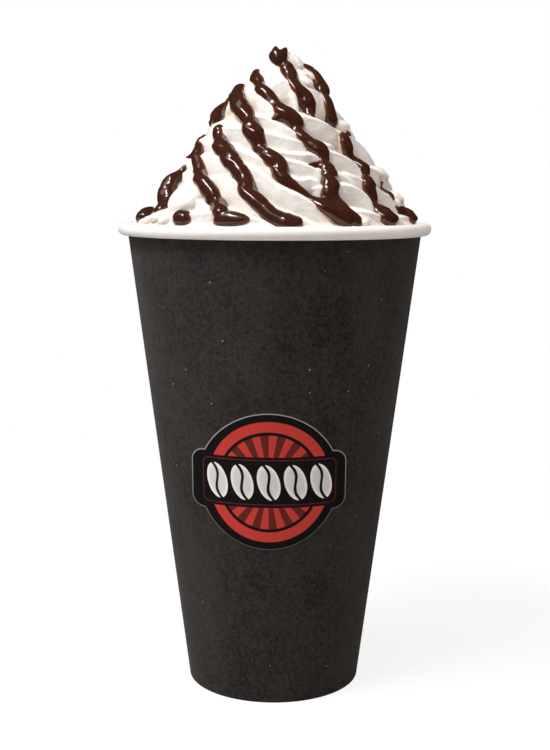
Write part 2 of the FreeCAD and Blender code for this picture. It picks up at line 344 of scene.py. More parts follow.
# %% [markdown]
# ## The whipped cream
# Cream from a star nozzle comes out as a rope with sharp ridges. As the rope is wound up into a
# mound, the ridges lie over each other like shingles: each has a raised crest, a broad face that
# falls back below it, and a deep shaded seam where the next crest begins. All of them slope down
# to the right.
#
# The folds could be swept one by one and joined, but their ends melt into each other in ways that
# joined tubes don't. So a smooth cone is spun first, and every point of it is then pushed out by
# one height. The cone goes down inside the cup to the drink, follows the wall up to the rim, and
# is rounded over at its blunt tip.

# %% The mound without its folds
MOUND_FOOT = 41.0         # radius over the crests at the rim
MOUND_TAPER = 0.761       # loss of radius for each mm of height
MOUND_BASE = 135.6
TIP_SLIMMING = 1.3        # the last part of the mound is a little slimmer than the cone
TIP_START = 179.0         # above this the cone rounds over to its blunt tip
TIP_SQUARENESS = 1.6
SLIMMING_START, SLIMMING_REACH = 168, 10
WALL_PAPER = 0.95         # both papers and a little room for the cream
RIM_FADE = 1.2            # how far below its base the mound's relief starts to fade in
COLUMNS = 480
ROW_STEP = 0.31


def cone_radius(z):
    slimming = TIP_SLIMMING * np.clip((z - SLIMMING_START) / SLIMMING_REACH, 0, 1) ** 2
    return MOUND_FOOT - MOUND_TAPER * (z - MOUND_BASE) - slimming


def wall_radius(z):
    """Inside of the cup's wall."""
    return foot_radius + wall_taper * z - WALL_PAPER


def mound_profile():
    """Points (radius, height) from the drink's surface up to the tip."""
    points = []
    for z in np.linspace(drink_level + 0.02, MOUND_BASE - RIM_FADE, 8):
        points.append((wall_radius(z), z))
    for z in np.arange(MOUND_BASE - 0.9, TIP_START, ROW_STEP):
        points.append((min(cone_radius(z), wall_radius(z)), z))
    tip_radius, rise = cone_radius(TIP_START), mound_top - TIP_START
    for share in np.linspace(0, math.pi / 2, 24)[1:]:
        across = max(math.cos(share), 0.0) ** (2 / TIP_SQUARENESS)
        up = math.sin(share) ** (2 / TIP_SQUARENESS)
        points.append((tip_radius * across, TIP_START + rise * up))
    return points


def spun(points, columns):
    """A bmesh of revolution about the cup's axis, from points given as (radius, height)."""
    bm = bmesh.new()
    chain = [bm.verts.new((radius, 0.0, height)) for radius, height in points]
    edges = [bm.edges.new(pair) for pair in zip(chain, chain[1:])]
    bmesh.ops.spin(bm, geom=chain + edges, cent=(0, 0, 0), axis=(0, 0, 1), angle=2 * math.pi,
                   steps=columns, use_merge=True)
    bmesh.ops.remove_doubles(bm, verts=bm.verts, dist=1e-4)
    return bm


print(len(mound_profile()), "rings of", COLUMNS, "points make the plain mound")

# %% [markdown]
# ### The crests
# Each fold is given by the line of its crest, as (azimuth in degrees, height in mm) places, with
# 180 on the left, 270 in front and 360 on the right. After the places come how far the fold
# stands out and how tall its face is, in mm. The same folds are used again for the far side,
# turned half round and a little lower.

# %% The crests
FOLDS = [
    ([(196, 181.5), (222, 179.5), (246, 177.0), (266, 172.5)], 0.0, 6.0),
    ([(236, 171.0), (251, 172.2), (262, 173.2), (274, 174.6), (286, 174.4),
      (296, 171.0)], 0.5, 8.5),
    ([(290, 175.2), (301, 174.0), (314, 172.6), (328, 172.0), (339, 170.3),
      (346, 166.0)], 0.4, 9.0),
    ([(185, 178.5), (208, 175.5), (228, 173.5), (246, 171.2), (259, 168.6), (268, 166.6),
      (280, 165.8), (292, 164.7), (306, 163.5), (316, 161.9), (326, 160.3),
      (331, 157.0)], 0.5, 6.0),
    ([(185, 172.6), (206, 170.8), (228, 168.2), (247, 165.0), (258, 164.4), (268, 163.0),
      (279, 160.8), (292, 158.0), (303, 156.8), (312, 156.6), (317, 153.5)], 0.1, 4.5),
    ([(168, 167.0), (186, 164.8), (206, 162.8), (226, 161.6), (244, 161.4), (258, 160.4),
      (269, 159.3), (279, 158.2), (286, 157.6), (293, 156.2), (298, 153.0)], 0.5, 6.0),
    ([(258, 156.2), (268, 155.2), (276, 154.5), (284, 154.2), (290, 154.2), (295, 153.0),
      (299, 150.0)], 0.3, 3.5),
    ([(256, 154.6), (267, 153.7), (276, 152.6), (285, 151.4), (291, 149.8),
      (296, 146.5)], 0.5, 5.0),
    ([(184, 160.5), (204, 158.5), (223, 156.8), (240, 156.2), (254, 154.2), (262, 152.8),
      (269, 150.4), (279, 146.0)], 0.4, 4.5),
    ([(196, 155.6), (218, 154.1), (239, 153.2), (253, 151.4), (263, 149.0), (271, 146.0),
      (280, 143.3), (287, 140.9), (291, 138.6), (294, 135.0)], 0.7, 6.5),
    ([(268, 149.6), (276, 148.4), (282, 147.4), (287, 147.8), (291, 146.6),
      (294, 143.5)], 0.1, 5.0),
    ([(288, 156.0), (297, 155.5), (305, 154.8), (312, 153.8), (317, 152.2), (320, 150.5),
      (323, 147.0)], 0.7, 6.0),
    ([(288, 150.6), (297, 149.8), (304, 148.9), (309, 147.4), (313, 145.0)], 0.2, 3.0),
    ([(286, 145.2), (294, 145.9), (301, 146.2), (307, 145.9), (312, 144.6), (315, 142.6),
      (318, 139.0)], 0.7, 6.0),
    ([(284, 141.2), (294, 140.2), (302, 138.8), (309, 137.4), (314, 135.0)], 0.4, 4.0),
    ([(306, 150.0), (316, 147.9), (325, 145.6), (333, 143.0), (340, 139.6)], 0.3, 5.5),
    ([(298, 140.0), (309, 139.1), (320, 137.8), (330, 136.2), (337, 134.0)], 0.3, 4.0),
    ([(316, 161.6), (328, 160.2), (337, 158.6), (345, 155.8), (352, 151.5)], 0.5, 7.0),
    ([(334, 168.2), (347, 165.8), (358, 163.0), (370, 158.5)], 0.3, 6.5),
    ([(336, 173.0), (350, 171.2), (366, 168.0), (384, 162.5)], 0.2, 6.0),
    ([(340, 157.8), (353, 155.5), (368, 152.0), (384, 147.0)], 0.3, 6.0),
    ([(332, 150.8), (346, 149.2), (362, 146.0), (378, 141.0)], 0.3, 6.0),
    ([(334, 143.8), (350, 141.8), (366, 138.5), (380, 134.5)], 0.3, 5.0),
    ([(204, 152.0), (211, 149.6), (221, 147.8), (232, 147.4), (241, 148.1), (249, 147.0),
      (257, 144.3), (265, 141.2), (272, 139.2), (280, 137.3), (290, 135.0)], 0.6, 7.0),
    ([(200, 150.5), (211, 148.8), (221, 146.2), (230, 143.4), (238, 140.6), (246, 138.4),
      (254, 136.8)], -0.7, 5.5),
    ([(203, 139.3), (222, 138.6), (236, 138.5), (250, 139.2), (258, 138.2), (267, 136.6),
      (276, 134.0)], 0.2, 4.0),
    ([(140, 181.0), (163, 178.0), (186, 173.5), (202, 169.5)], 0.2, 6.0),
    ([(140, 162.5), (165, 159.5), (186, 156.0), (204, 151.0)], 0.3, 6.0),
    ([(142, 153.5), (165, 151.0), (188, 147.8), (206, 143.0)], 0.3, 6.0),
    ([(146, 146.0), (168, 143.5), (190, 140.5), (206, 136.0)], 0.3, 6.0),
    ([(150, 139.5), (175, 138.0), (198, 136.0)], 0.2, 4.0),
]
BACK_TURN = 180.0         # the same folds again, turned to the back
BACK_SHIFT = -1.5
print(len(FOLDS), "crests, the longest over",
      max(places[-1][0] - places[0][0] for places, _, _ in FOLDS), "degrees")

# %% [markdown]
# ### Small balls of cream
# Where the nozzle let go it left little balls and crumbs, mostly low down and on the right. Each
# is an azimuth, a height and a radius. A fourth number is how deep the ball is sunk, as a share
# of its radius: the large one is the round end of a fold on the left.

# %% The balls
LUMPS = [
    (322, 182.0, 1.6), (336, 179.6, 1.4), (328, 177.0, 1.3), (319, 174.9, 2.3),
    (352, 177.0, 3.2), (352, 173.0, 2.6), (343, 163.0, 1.7), (343, 149.8, 2.2),
    (353, 149.6, 2.9), (345, 142.8, 2.6), (338, 141.6, 1.8), (327, 137.4, 1.9),
    (306, 136.8, 1.5), (205, 136.0, 1.3), (209, 136.6, 1.6), (213, 137.6, 1.4),
    (217, 137.8, 1.5), (221, 136.8, 1.6), (224, 143.4, 7.5, 0.78),
    (95, 179.0, 2.0), (60, 160.0, 2.0), (128, 151.0, 1.8), (20, 141.0, 2.2),
    (100, 137.5, 2.0), (150, 137.5, 1.7),
]
LUMP_SINK = 0.45          # the usual share of its radius by which a ball is sunk
LUMP_SIDE = 3.0           # how fast its height falls outside its radius


def lump_height(lump, azimuth, z):
    """How far a ball stands out from the cone at each point."""
    at, level, size, *sunk = lump
    sink = sunk[0] if sunk else LUMP_SINK
    across = np.radians((azimuth - at + 180) % 360 - 180) * cone_radius(level)
    away = np.hypot(across, (z - level) * math.hypot(1, MOUND_TAPER))
    round_top = np.sqrt(np.maximum(size ** 2 - away ** 2, 0))
    return round_top - sink * size - LUMP_SIDE * np.maximum(away - size, 0)


print(len(LUMPS), "balls, the largest", max(lump[2] for lump in LUMPS), "mm in radius")

# %% [markdown]
# ### The shape of one fold
# Cut across, a fold is a shingle. Above its crest it falls back steeply to the seam of the fold
# above. Below the crest there is a short round lip and then the face, partly straight and partly
# bulging, which ends in the next seam. At both ends the fold sinks under its neighbours: early
# and softly at its start, late and bluntly at its right end, which stays thick.

# %% One fold
LEDGE_SLOPE = 2.6         # how fast a fold's top falls back to the seam above it, mm for each mm
FACE_DEPTH = 4.6          # how far a usual face falls back by its foot
LIP_DEPTH = 0.42          # a quick rounding right below the crest
LIP_HEIGHT = 0.5
STRAIGHT_SHARE, BULGE_SHARE = 0.55, 0.45
UNDERCUT = 2.5            # how fast the face falls away past its foot
CREST_ROUNDING = 0.10
START_DIP = 4.5           # how far the left end of a fold sinks under its neighbours
TIP_DIP = 4.0             # and its right end, which stays thick for longer


def flowing(places, pieces=20):
    """A smooth line through places, as close points."""
    knots = np.array(places, float)
    padded = np.vstack([2 * knots[0] - knots[1], knots, 2 * knots[-1] - knots[-2]])
    line = []
    for before, a, b, after in zip(padded, padded[1:], padded[2:], padded[3:]):
        square = 2 * before - 5 * a + 4 * b - after
        cube = 3 * a - before - 3 * b + after
        for t in np.linspace(0, 1, pieces, endpoint=False):
            line.append(0.5 * (2 * a + (b - before) * t + square * t ** 2 + cube * t ** 3))
    return np.array(line + [knots[-1]])


class Fold:
    """One shingle of cream under the line of its crest."""

    def __init__(self, places, reach, tall):
        line = flowing(places)
        before = line[0] + 12 * (line[0] - line[1])
        after = line[-1] + 12 * (line[-1] - line[-2])
        line = np.vstack([before, line, after])
        self.azimuths, self.heights = line.T
        self.slopes = np.gradient(self.heights, self.azimuths)
        self.middle = (places[0][0] + places[-1][0]) / 2
        self.half = (places[-1][0] - places[0][0]) / 2
        self.reach = reach
        self.tall = tall
        self.depth = FACE_DEPTH * math.sqrt(tall / 6)

    def height(self, azimuth, z):
        """How far this fold stands out from the cone at each point."""
        turned = (azimuth - self.middle + 180) % 360 - 180
        place, along = turned + self.middle, turned / self.half
        slope = np.interp(place, self.azimuths, self.slopes) / (np.radians(1) * cone_radius(z))
        below = (np.interp(place, self.azimuths, self.heights) - z) / np.sqrt(1 + slope ** 2)
        above = CREST_ROUNDING * np.logaddexp(0, -below / CREST_ROUNDING)
        under = CREST_ROUNDING * np.logaddexp(0, below / CREST_ROUNDING)
        share = under / self.tall
        bulge = (1 - np.sqrt(np.maximum(1 - np.minimum(share, 1) ** 2, 0))
                 + UNDERCUT * np.maximum(share - 1, 0))
        face = (LIP_DEPTH * (1 - np.exp(-under / LIP_HEIGHT))
                + self.depth * (STRAIGHT_SHARE * share + BULGE_SHARE * bulge))
        ends = START_DIP * np.maximum(-along, 0) ** 7 + TIP_DIP * np.maximum(along, 0) ** 10
        return self.reach - ends - LEDGE_SLOPE * above - face


def all_folds():
    folds = [Fold(*fold) for fold in FOLDS]
    for places, reach, tall in FOLDS:
        folds.append(Fold([(a + BACK_TURN, z + BACK_SHIFT) for a, z in places], reach, tall))
    return folds


folds = all_folds()
print(len(folds), "folds, front and back")

# %% [markdown]
# ### One height from all of them
# At each point the highest fold wins, as where real shingles overlap. A plain maximum would leave
# seams as sharp as knife cuts, so a soft maximum is used: the logarithm of a sum of exponentials.
# Towards the tip the folds get shallower, as the rope of cream thins out.

# %% The relief
SEAM_BLEND = 9.0          # larger numbers make sharper seams
SEAM_FLOOR = -5.0         # no seam is deeper than this, mm
TIP_ROUND, TIP_FADE = 4, 17   # the relief fades as the cone's radius falls towards the first number
LEAST_RELIEF = 0.12


def relief(azimuth, z):
    """Height of the cream over its plain cone, at arrays of azimuths and heights."""
    near_tip = np.clip((cone_radius(z) - TIP_ROUND) / TIP_FADE, LEAST_RELIEF, 1.0)
    floor = SEAM_FLOOR * near_tip
    total = np.exp(SEAM_BLEND * floor)
    for fold in folds:
        height = fold.height(azimuth, z) * near_tip ** 0.5
        total += np.exp(SEAM_BLEND * np.maximum(height, floor - 4))
    for lump in LUMPS:
        total += np.exp(SEAM_BLEND * np.maximum(lump_height(lump, azimuth, z), floor - 4))
    return np.log(total) / SEAM_BLEND


print("height of the relief in front, every 10 mm up:",
      relief(np.full(4, 270.0), np.linspace(140, 170, 4)).round(1))

# %% [markdown]
# ### Where the crests and seams are
# The finish paints light into the cream's colour: a painted highlight on the thin crests, and a
# warm painted shade in the seams, standing in for light that soaks in there and comes back warmer.
# The finish can't tell where those places are from a point's position, so two numbers are worked
# out for it: how far a point lies below its fold's crest, and by how much its fold tops the next
# highest one, which is nearly nothing in a seam.

# %% Crests and seams
def fold_places(azimuth, z):
    """Distance below the crest, and how far the top fold leads the next one, in mm."""
    highest = np.full(len(z), -99.0)
    second = np.full(len(z), -99.0)
    below = np.full(len(z), 3.0)
    for fold in folds:
        height = fold.height(azimuth, z)
        turned = (azimuth - fold.middle + 180) % 360 - 180
        drop = np.interp(turned + fold.middle, fold.azimuths, fold.heights) - z
        below = np.where(height > highest, drop, below)
        second = np.maximum(second, np.minimum(height, highest))
        highest = np.maximum(highest, height)
    for lump in LUMPS:
        height = lump_height(lump, azimuth, z)
        below = np.where(height > highest, 1.0, below)
        second = np.maximum(second, np.minimum(height, highest))
        highest = np.maximum(highest, height)
    return below, highest - second

# %% [markdown]
# ### Small unevenness
# Whipped cream holds tiny bubbles and tears a little as it is piped. Three sizes of soft noise
# give it gentle bulges, dents and wrinkles. A fourth is drawn out along the folds, for the fine
# streaks that the nozzle leaves. The mound also leans a little to the right, more at its tip.

# %% Uneven and leaning
LEAN = 0.7                # sideways offset of the mound's axis
TIP_LEAN = 0.9            # and how much more its tip leans
STREAK_SLOPE = 0.3        # the fine streaks run down to the right at this slope
STREAK_STRETCH = 3        # and are this many times as long as they are wide


def soft_noise(points, size, seed):
    """Smooth noise of about unit size at each point, for features of the given size in mm."""
    shift = Vector((seed * 17.3, seed * 5.1, -seed * 9.7))
    return np.array([noise.noise(Vector(p) / size + shift) for p in points])


def mound_axis(z):
    """Sideways place of the mound's axis at a height."""
    low = np.clip((z - MOUND_BASE) / 20, 0, 1)
    high = np.clip((z - 165) / (mound_top - 165), 0, 1)
    return LEAN * low + TIP_LEAN * high ** 2


def cream_offset(azimuth, z):
    """How far the cream stands out from its plain cone, with its small unevenness."""
    radius = cone_radius(z)
    turn = np.radians(azimuth)
    on_cone = np.column_stack([radius * np.cos(turn), radius * np.sin(turn), z])
    drawn_out = np.column_stack([on_cone[:, :2] / STREAK_STRETCH, z + STREAK_SLOPE * radius * turn])
    return (relief(azimuth, z)
            + 0.35 * soft_noise(on_cone, 9.0, 1) + 0.15 * soft_noise(on_cone, 3.2, 2)
            + 0.17 * soft_noise(drawn_out, 1.5, 3) + 0.05 * soft_noise(on_cone, 1.1, 4))


def cream_radius(azimuth, z):
    return cone_radius(z) + cream_offset(azimuth, z)


print("radius in front at the rim:", cream_radius(np.array([270.0]), np.array([137.0])).round(1))

# %% [markdown]
# ### Pushing the points out
# All the points are moved at once with numpy, because there are more than eighty thousand. Inside
# the cup they stay within the wall. From the rim the relief fades in over a couple of
# millimetres, and on the rounded tip the last ring's relief is carried on to the top.

# %% Push the cream out into its folds
def shape_cream(bm):
    """Moves the plain mound's points, and returns numbers for the finish."""
    flat = np.array([v.co[:] for v in bm.verts])
    radius = np.hypot(flat[:, 0], flat[:, 1])
    azimuth = np.degrees(np.arctan2(flat[:, 1], flat[:, 0])) % 360
    z = flat[:, 2]
    fade_in = np.clip((z - (MOUND_BASE - RIM_FADE)) / 2.0, 0, 1)
    level = np.minimum(z, TIP_START)
    out = cream_offset(azimuth, level) * fade_in
    new_radius = np.where(z < TIP_START, radius + out, radius * (1 + out / cone_radius(TIP_START)))
    new_radius = np.where(z < cup_height - 0.6, np.minimum(new_radius, wall_radius(z)), new_radius)
    scale = np.where(radius > 1e-6, new_radius / np.maximum(radius, 1e-6), 1.0)
    moved = np.column_stack([flat[:, 0] * scale + mound_axis(z), flat[:, 1] * scale, z])
    for v, place in zip(bm.verts, moved):
        v.co = place
    return (out, *fold_places(azimuth, level))

# %% [markdown]
# ### The cream's finish
# Cream scatters light just under its skin, which softens every edge, so the finish has a short
# subsurface scale. Its colour also carries painted light: a painted highlight makes the crests
# nearly white, painted shade darkens the faces towards their foot, and a warm painted shade lies
# in the deep places and the seams. A fine bump stands for the foam's bubbles, too small to model.

# %% The cream's finish
CREST_PAINTED_HIGHLIGHT = (0.92, 0.915, 0.91)
UPPER_FACE_COLOUR = (0.83, 0.805, 0.78)
LOWER_FACE_PAINTED_SHADE = (0.80, 0.763, 0.715)
DEEP_PAINTED_SHADE = (0.98, 0.90, 0.76)
SEAM_PAINTED_SHADE = (0.91, 0.825, 0.715)
WHITE = (1.0, 1.0, 1.0)


def cream_finish():
    """Cream with a painted highlight on the crests and warm painted shade down the faces and in the
    seams.
    """
    f = Finish("whipped_cream")
    place = f.place()
    fine = f.grain(place, 900.0, 3.0)
    broad = f.grain(place, 160.0, 2.0)
    rough = f.bump(fine, 0.00030, 0.8, f.bump(broad, 0.0008, 0.45))
    sunk = f.add("Attribute", {"attribute_name": "sunk"}).outputs["Fac"]
    below = f.add("Attribute", {"attribute_name": "below_crest"}).outputs["Fac"]
    # Painted highlight on the crests, and painted shade that darkens each face towards its foot.
    face = f.ramp(below, [(0.0, CREST_PAINTED_HIGHLIGHT), (0.10, UPPER_FACE_COLOUR), (1.0, LOWER_FACE_PAINTED_SHADE)])
    # Painted shade: warm and darker where the cream is sunk deep into its cone.
    deep_shade = f.ramp(sunk, [(0.35, WHITE), (1.0, DEEP_PAINTED_SHADE)])
    # Painted shade in the seams, warm and darker where two folds meet.
    seam = f.add("Attribute", {"attribute_name": "seam"}).outputs["Fac"]
    seam_shade = f.ramp(seam, [(0.25, WHITE), (1.0, SEAM_PAINTED_SHADE)])
    tint = f.multiplied(f.multiplied(face, deep_shade), seam_shade)
    return f.surface(Base_Color=tint, Roughness=0.42, Normal=rough, Subsurface_Weight=1.0,
                     Subsurface_Radius=(1.0, 1.0, 1.0), Subsurface_Scale=0.00035,
                     Specular_IOR_Level=0.35)

# %% Make the cream
SEAM_WIDTH = 0.7          # mm of lead over which the seam's painted shade fades
CREST_REACH = 6.0         # mm below the crest at which a face has its full painted shade

cream_bm = spun(mound_profile(), COLUMNS)
stand_out, drop, lead = shape_cream(cream_bm)
bmesh.ops.recalc_face_normals(cream_bm, faces=cream_bm.faces)
cream = finish_piece("cream_mound", cream_bm, cream_finish())
# Masks for the painted light: shade in sunk places, highlight and shade by distance below the crest,
# shade in the seams.
keep_value(cream, "sunk", np.clip(-(stand_out + 1.0) / 3.5, 0, 1))
keep_value(cream, "below_crest", np.clip(drop / CREST_REACH, 0, 1))
keep_value(cream, "seam", np.exp(-lead / SEAM_WIDTH))
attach(cream, "root")
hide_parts("whipped_cream")
print(f"the cream stands {stand_out.max():.1f} mm out of its cone"
      f" and {-stand_out.min():.1f} mm into it")

# %% [markdown]
# ## The chocolate sauce
# Thick sauce was run from the tip down over the folds. It lies in ropes that swell where it
# slows, bridges the seams and gathers in small pools at the rim. Real sauce could be simulated as
# a liquid, but where it ends up would be hard to steer. So each rope is drawn as a curve that
# follows the cream. Its places from the top down are (azimuth, height, half width).

# %% Where the sauce ran
ROPES = [
    [(256, 183.6, 2.0), (261, 182.2, 2.6), (266, 180.4, 2.5), (270, 178.6, 1.6)],
    [(244, 182.6, 1.5), (226, 183.8, 1.1), (214, 184.9, 0.6)],
    [(284, 182.4, 1.3), (302, 183.8, 0.9), (312, 184.6, 0.5)],
    [(281, 180.3, 1.5), (288, 178.6, 1.9), (294, 176.5, 2.1), (294, 174.3, 2.0), (298, 172, 2.0),
     (304, 170, 2.2), (306, 168, 2.1), (306, 166.2, 1.8), (303, 164.3, 1.6)],
    [(196, 178.0, 1.2), (213, 176.2, 1.9), (234, 174.3, 1.9), (246, 172.4, 1.7), (258, 170.4, 2.0),
     (266, 168.2, 2.0), (272, 166.4, 1.9), (279, 164.6, 2.3), (285, 163.0, 2.4), (286, 161, 2.2),
     (287, 159, 1.9), (292, 157, 1.9), (297, 155.4, 1.9), (298, 153.3, 1.8), (298, 151, 2.1),
     (298, 148.8, 2.4), (297, 146.5, 2.4), (295, 144.5, 2.6), (295, 142.6, 2.5), (297, 140.8, 2.4),
     (300, 138.6, 1.7), (303, 136.8, 1.7), (304, 134.8, 1.8)],
    [(276, 165.6, 1.5), (270, 164.2, 1.4), (265, 163.4, 0.8)],
    [(297, 151, 1.6), (292, 151.1, 1.2), (286, 151.3, 0.5)],
    [(192, 173.2, 1.5), (200, 172.0, 2.3), (211, 170.6, 2.4), (224, 168.8, 2.4), (236, 166.2, 2.4),
     (243, 164, 2.3), (248, 161.9, 2.4), (254, 159.4, 2.5), (257, 157, 2.1), (259, 155.3, 1.7),
     (265, 153.6, 2.2), (270, 151.8, 2.5), (272, 149.9, 2.5), (273, 148, 2.4), (277, 146.0, 2.0),
     (281, 144.4, 1.4), (285, 142.8, 1.2), (290, 140.6, 1.6), (295, 138.4, 1.8), (299, 136.6, 2.1),
     (301, 134.6, 2.2)],
    [(190, 171.8, 1.3), (199, 170.0, 1.3), (214, 168.0, 1.2), (228, 165.4, 1.0), (238, 163.3, 0.8)],
    [(176, 170.4, 0.8), (182, 168.2, 1.6), (190, 165.6, 1.9), (200, 163.8, 1.7), (207, 162.4, 1.0)],
    [(222, 162.2, 1.9), (221, 160.9, 2.1), (223, 159.3, 2.1), (227, 157.4, 2.2), (236, 154.8, 2.3),
     (243, 152.7, 2.3), (249, 150.5, 2.3), (253, 148.4, 2.5), (255, 146.2, 2.4), (258, 144.0, 2.0),
     (262, 142.1, 2.0), (265, 140.3, 2.1), (268, 138.5, 2.2), (272, 136.8, 2.6), (277, 135.6, 2.8),
     (280, 134.6, 2.8)],
    [(197, 160.4, 0.5), (200, 158.6, 0.9), (204, 156.4, 1.7), (213, 154.4, 2.0), (219, 151.6, 2.1),
     (225, 148.6, 2.0), (233, 146.6, 2.0), (238, 144, 2.3), (241, 141.6, 2.3), (246, 139.6, 2.0),
     (250, 138.2, 2.0)],
    [(208, 155.6, 1.4), (199, 154.8, 1.3), (195, 153.2, 0.9)],
    [(245, 136.6, 1.9), (250, 136.8, 2.3), (256, 137.0, 2.0), (261, 137.3, 1.1)],
    [(201, 151.8, 0.7), (199, 149.4, 1.4), (199, 147.6, 2.0), (200, 145.6, 2.5), (202, 143.6, 2.8),
     (204, 141.4, 3.0), (208, 139.8, 2.9), (213, 138.9, 2.1)],
    [(198, 139.8, 0.9), (199, 138.2, 1.9), (200, 136.6, 2.6), (201, 135.4, 2.8)],
    [(226, 136.4, 1.8), (230, 137.0, 2.7), (235, 136.4, 2.2)],
    [(358, 180, 1.2), (355, 177.5, 1.8), (352, 175.3, 2.0), (347, 172.8, 1.9), (342, 170.7, 1.8),
     (337, 168, 2.0), (336, 165.6, 2.1), (336, 163.6, 2.0), (337, 161.9, 1.3)],
    [(322, 160.4, 1.2), (325, 158.9, 1.6), (326, 156.4, 2.0), (327, 154.4, 1.8), (328, 152.8, 1.7),
     (329, 151.2, 1.8), (328, 149.2, 2.1), (324, 147.2, 2.4), (320, 145.8, 2.0), (321, 143.8, 2.1),
     (321, 142, 2.2), (320, 140.2, 2.3), (320, 138.2, 2.6), (322, 136.4, 3.0), (323, 134.8, 3.2)],
    [(351, 161.4, 0.7), (354, 160.2, 1.2), (352, 158.8, 1.1)],
    [(342, 147.4, 1.1), (342, 146.2, 1.3)],
    [(343, 145.4, 0.8), (339, 144.4, 1.1), (336, 143.2, 1.3), (334.5, 141.6, 1.3)],
    [(335, 140.4, 0.8), (339, 139.4, 1.5), (343, 138.2, 2.1), (345, 136.8, 2.6), (346, 135.2, 2.8)],
]
print(len(ROPES), "ropes of sauce in front")

# %% [markdown]
# ### Laying a rope on the cream
# A rope doesn't follow every seam: it bridges the narrow ones. So the cream's height along the
# rope is evened over a few millimetres, and the rope lies on that line or on the cream, whichever
# is higher. Its width swells and its course sways a little, by noise that depends only on how far
# along the rope a point lies.

# %% A rope of sauce
SAUCE_STEP = 0.8          # spacing of the points along a rope
SAUCE_LIFT = -0.16        # share of its half width by which a rope's middle lies above the cream
SAUCE_WIDTH = 1.08
SAUCE_SWAY = 0.45         # how far a rope strays to either side, mm
SAUCE_SINK = 0.3          # how far a rope may sink into a crest that it crosses, mm
SWELL_SHARE = 0.18
ROUND_END = 1.8           # length over which an end narrows, mm


def smooth_path(places, step):
    """Even points along a smooth curve through a rope's places, and how far along each lies."""
    path = flowing(places)
    radius = cone_radius(path[:, 1])
    turn = np.radians(path[:, 0])
    solid = np.column_stack([radius * np.cos(turn), radius * np.sin(turn), path[:, 1]])
    walked = np.concatenate([[0], np.cumsum(np.linalg.norm(np.diff(solid, axis=0), axis=1))])
    stops = np.linspace(0, walked[-1], max(3, int(walked[-1] / step)))
    return np.column_stack([np.interp(stops, walked, column) for column in path.T]), stops


def evened(values, reach):
    """Values along a path, each averaged with its neighbours within reach points."""
    window = np.hanning(2 * reach + 3)
    padded = np.pad(values, reach + 1, mode="edge")
    return np.convolve(padded, window / window.sum(), mode="valid")


def rope_tube(places, seed):
    """A tube along one rope of sauce, laid on the cream and swelling here and there."""
    path, walked = smooth_path(places, SAUCE_STEP)
    azimuth, z, half_width = path.T
    surface = cream_radius(azimuth, z)
    laid = np.maximum(surface - SAUCE_SINK, evened(surface, 3))
    swell = np.array([noise.noise((w / 4.5, seed * 7.7, 0.5))
                      + 0.5 * noise.noise((w / 1.7, seed * 3.1, 4.5)) for w in walked])
    sway = np.array([noise.noise((w / 2.6, seed * 5.3, 9.5)) for w in walked])
    azimuth = azimuth + SAUCE_SWAY * sway / np.radians(cone_radius(z))
    end = np.minimum(walked, walked[-1] - walked)
    rounding = np.sqrt(np.clip((end + 0.4) / ROUND_END, 0.05, 1))
    width = SAUCE_WIDTH * half_width * (1 + SWELL_SHARE * swell) * rounding
    radius = laid + SAUCE_LIFT * width
    turn = np.radians(azimuth)
    curve = bpy.data.curves.new("rope", "CURVE")
    curve.dimensions = "3D"
    curve.bevel_depth = 1.0
    curve.bevel_resolution = 4
    curve.use_fill_caps = True
    spline = curve.splines.new("POLY")
    spline.points.add(len(z) - 1)
    for i, point in enumerate(spline.points):
        point.co = (radius[i] * math.cos(turn[i]) + mound_axis(z[i]),
                    radius[i] * math.sin(turn[i]), z[i], 1)
        point.radius = width[i]
    holder = bpy.data.objects.new("rope", curve)
    tube = bpy.data.meshes.new_from_object(holder)
    bpy.data.objects.remove(holder)
    return tube

# %% [markdown]
# ### Melting the ropes together
# Where ropes cross or gather they run into one another. A voxel remesh melts the overlapping
# tubes into one closed skin, and a little smoothing rounds the notches as surface tension does.

# %% Melt
SAUCE_VOXEL = 0.34
SMOOTHING_ROUNDS = 8


def melted(bm, voxel):
    """The closed shapes of a bmesh run together into one skin."""
    mesh = bpy.data.meshes.new("melting")
    bm.to_mesh(mesh)
    bm.free()
    holder = bpy.data.objects.new("melting", mesh)
    bpy.context.collection.objects.link(holder)
    remesh = holder.modifiers.new("melt", "REMESH")
    remesh.mode = "VOXEL"
    remesh.voxel_size = voxel
    settle = holder.modifiers.new("settle", "SMOOTH")
    settle.factor = 0.5
    settle.iterations = SMOOTHING_ROUNDS
    melted_holder = holder.evaluated_get(bpy.context.evaluated_depsgraph_get())
    skin = bpy.data.meshes.new_from_object(melted_holder)
    bpy.data.objects.remove(holder)
    out = bmesh.new()
    out.from_mesh(skin)
    return out

# %% [markdown]
# ### The sauce's finish
# Chocolate sauce is almost black where it is deep and a reddish brown where it thins out at its
# edges. The depth of sauce over the cream is stored on each point and picks the colour. The skin
# is smooth and glossy, with a faint ripple.

# %% The sauce's finish
SAUCE_EDGE = (0.32, 0.085, 0.026)
SAUCE_THIN = (0.115, 0.031, 0.0120)
SAUCE_DEEP = (0.047, 0.0145, 0.0080)


def sauce_finish():
    f = Finish("chocolate_sauce")
    thick = f.add("Attribute", {"attribute_name": "depth"}).outputs["Fac"]
    tint = f.ramp(thick, [(0.0, SAUCE_EDGE), (0.14, SAUCE_THIN), (0.42, SAUCE_DEEP)])
    ripple = f.grain(f.place(), 260.0, 2.0)
    return f.surface(Base_Color=tint, Roughness=0.10, Normal=f.bump(ripple, 0.0003, 0.06),
                     Specular_IOR_Level=0.55)

# %% [markdown]
# ### Settling onto the cream
# Round tubes would look like piped icing. Sauce slumps, so every point above the cream is brought
# a little closer to it, which flattens the ropes and leaves their edges where they are.

# %% Make the sauce
SAUCE_SETTLE = 0.86       # share of its height that the sauce keeps
FULL_DEPTH = 2.5          # mm of sauce that count as deep


